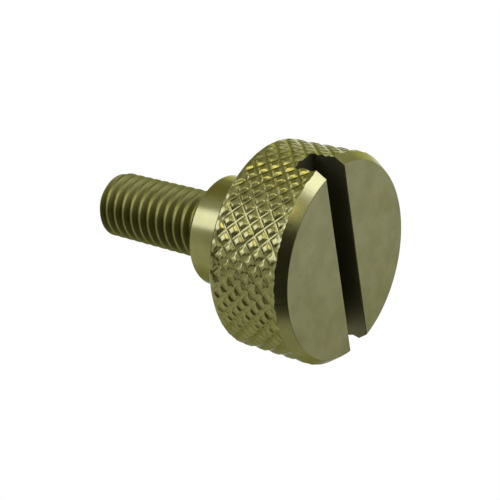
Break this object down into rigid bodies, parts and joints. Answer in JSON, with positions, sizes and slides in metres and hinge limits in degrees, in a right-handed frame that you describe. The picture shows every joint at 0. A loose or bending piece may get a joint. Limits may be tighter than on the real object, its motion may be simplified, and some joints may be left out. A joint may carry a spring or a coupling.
{
  "type": "retainer knob",
  "caption": "Slotted thumbscrew with a diamond-knurled head, a plain collar and a threaded shank, turned by hand or screwdriver to hold a squeegee in its holder.",
  "frame": {"origin": "centre of the slotted face, on the surface that the knob stands on", "axes": "+Z along the screw's axis, from the slotted face to the thread's tip; +Y along the slot"},
  "size_m": [0.018, 0.018, 0.0257],
  "materials": {
    "plated_metal": "dull nickel plate with an olive tint, turned and knurled"
  },
  "bodies": {
    "root": {"retainer_knob": "plated_metal"}
  },
  "joints": []
}
